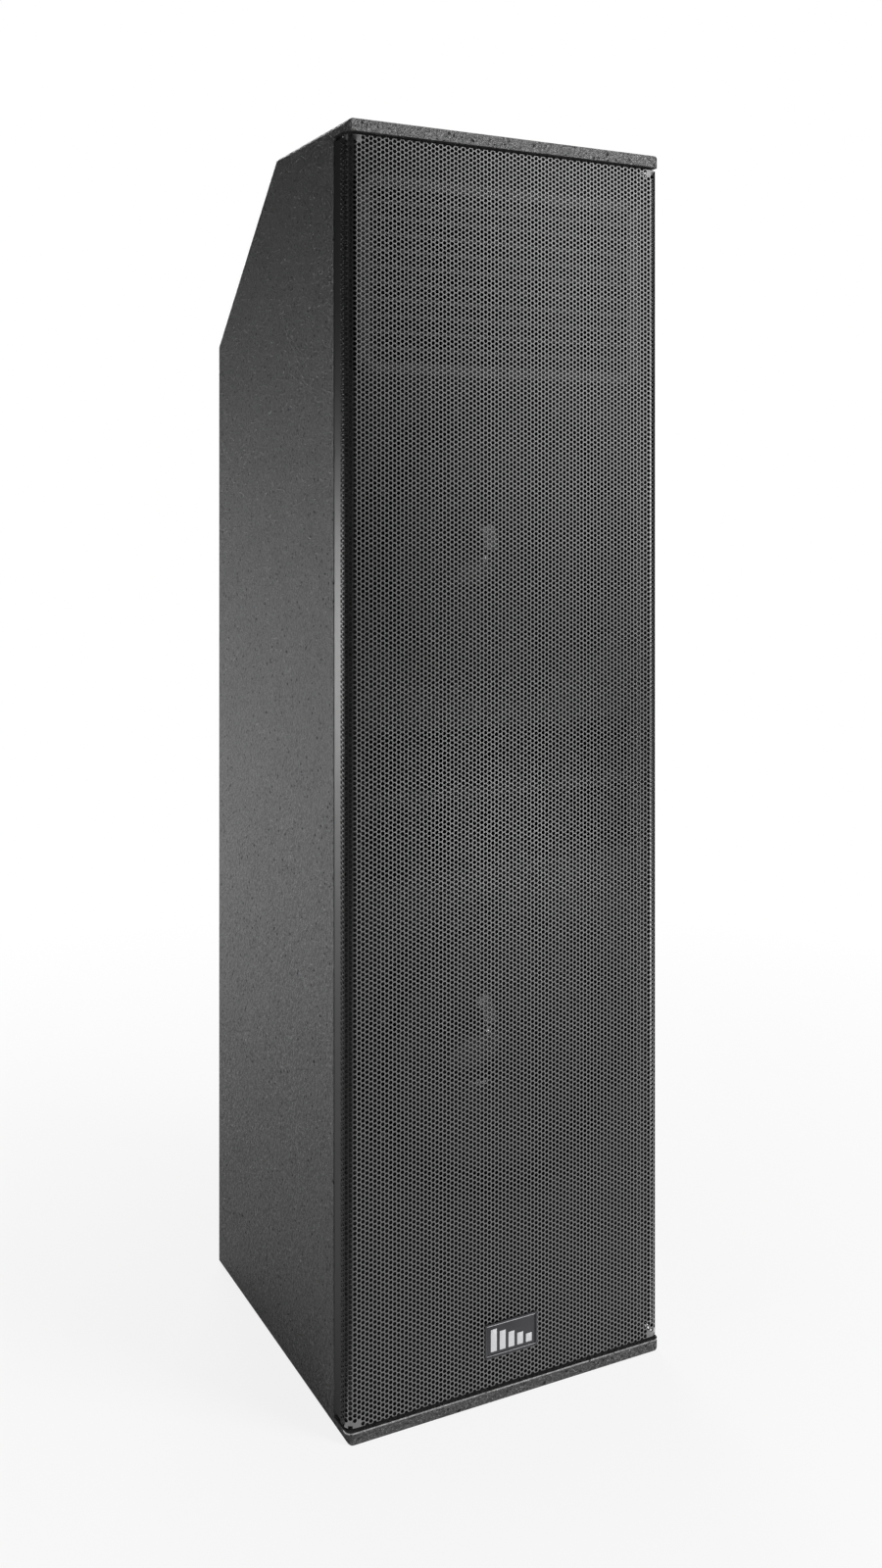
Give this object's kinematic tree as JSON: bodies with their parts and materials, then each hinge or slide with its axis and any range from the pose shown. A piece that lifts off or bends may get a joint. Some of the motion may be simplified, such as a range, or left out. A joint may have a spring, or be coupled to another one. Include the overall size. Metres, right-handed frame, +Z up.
{
  "type": "column loudspeaker",
  "caption": "Tall plywood column loudspeaker with a sloped upper back, wrap-round perforated grille, vaned horn over twin woofers, slotted port and a recessed rear amplifier module.",
  "frame": {"origin": "middle of the underside", "axes": "+X to the right seen from the front, +Y from the front to the back, +Z up"},
  "size_m": [0.3556, 0.381, 1.25],
  "materials": {
    "textured_paint": "plywood with black textured paint",
    "black_wood": "plywood with flat dark grey paint",
    "bare_wood": "bare birch plywood",
    "wadding": "polyester wadding",
    "grille_steel": "powder-coated perforated steel, satin",
    "foam": "black closed-cell foam",
    "badge_metal": "brushed, dark field",
    "brass": "turned",
    "black_screws": "black oxide",
    "horn_plastic": "fine matte moulding",
    "zinc_steel": "zinc plated",
    "ferrite": "ground ferrite",
    "dome": "thin formed foil",
    "basket_paint": "cast basket, black paint",
    "surround_cloth": "doped cloth roll",
    "cone_paper": "black pressed paper",
    "spider_cloth": "impregnated cloth",
    "copper_coil": "enamelled copper on a former",
    "tray_paint": "fine black powder coat",
    "black_aluminium": "black anodised extrusion",
    "circuit_board": "green board with parts",
    "black_plastic": "moulded",
    "latch_metal": "nickel plated",
    "red_plastic": "moulded rocker",
    "light": "clear green lens",
    "wire_rubber": "black insulated wire"
  },
  "bodies": {
    "cabinet": {"top_panel": "textured_paint", "bottom_panel": "textured_paint", "left_side_panel": "textured_paint", "right_side_panel": "textured_paint", "back_panel": "textured_paint", "sloped_back_panel": "textured_paint", "upper_baffle": "black_wood", "lower_baffle": "black_wood", "port_upper_shelf": "black_wood", "port_divider": "black_wood", "port_lower_shelf": "black_wood", "port_side_cheeks": "black_wood", "horn_chamber_shelf": "bare_wood", "acoustic_lining": "wadding", "grille": "grille_steel", "grille_foam_strips": "foam", "badge": "badge_metal", "rigging_inserts": "brass", "driver_screws": "black_screws", "horn": "horn_plastic", "horn_vanes": "horn_plastic", "hf_front_plate": "zinc_steel", "hf_phase_plug": "horn_plastic", "hf_magnet": "ferrite", "hf_rear_cover": "horn_plastic", "upper_frame": "basket_paint", "upper_gasket": "foam", "upper_surround": "surround_cloth", "upper_spider": "spider_cloth", "upper_front_plate": "zinc_steel", "upper_magnet": "ferrite", "upper_pole_yoke": "zinc_steel", "lower_frame": "basket_paint", "lower_gasket": "foam", "lower_surround": "surround_cloth", "lower_spider": "spider_cloth", "lower_front_plate": "zinc_steel", "lower_magnet": "ferrite", "lower_pole_yoke": "zinc_steel", "amp_tray": "tray_paint", "amp_chassis": "zinc_steel", "amp_tray_screws": "black_screws", "heatsink": "black_aluminium", "amplifier_board": "circuit_board", "input_socket": "black_plastic", "link_socket": "black_plastic", "mains_inlet": "black_plastic", "power_switch_housing": "black_plastic", "status_light": "light", "speaker_wires": "wire_rubber"},
    "upper_cone_body": {"upper_cone": "cone_paper", "upper_dust_cap": "cone_paper", "upper_voice_coil": "copper_coil"},
    "lower_cone_body": {"lower_cone": "cone_paper", "lower_dust_cap": "cone_paper", "lower_voice_coil": "copper_coil"},
    "diaphragm_body": {"hf_diaphragm": "dome"},
    "rocker_body": {"power_rocker": "red_plastic"},
    "knob_body": {"level_knob": "black_plastic"},
    "latch_body": {"input_latch": "latch_metal"}
  },
  "joints": [
    {"name": "upper_cone_slide", "type": "slide", "parent": "cabinet", "child": "upper_cone_body", "axis": [0, 1, 0], "range_m": [-0.006, 0.006], "stiffness_N_per_m": 3500, "deforming": ["upper_surround", "upper_spider"]},
    {"name": "lower_cone_slide", "type": "slide", "parent": "cabinet", "child": "lower_cone_body", "axis": [0, 1, 0], "range_m": [-0.006, 0.006], "stiffness_N_per_m": 3500, "deforming": ["lower_surround", "lower_spider"]},
    {"name": "diaphragm_slide", "type": "slide", "parent": "cabinet", "child": "diaphragm_body", "axis": [0, 1, 0], "range_m": [-0.0004, 0.0004], "stiffness_N_per_m": 2500},
    {"name": "rocker_tilt", "type": "hinge", "parent": "cabinet", "child": "rocker_body", "pos_m": [0.04, 0.1685, 0.234], "axis": [-1, 0, 0], "range_deg": [0, 18]},
    {"name": "knob_turn", "type": "hinge", "parent": "cabinet", "child": "knob_body", "pos_m": [0.074, 0.1715, 0.504], "axis": [0, 1, 0], "range_deg": [-150, 150]},
    {"name": "latch_press", "type": "slide", "parent": "cabinet", "child": "latch_body", "axis": [0, -1, 0], "range_m": [0, 0.0014], "stiffness_N_per_m": 400}
  ]
}
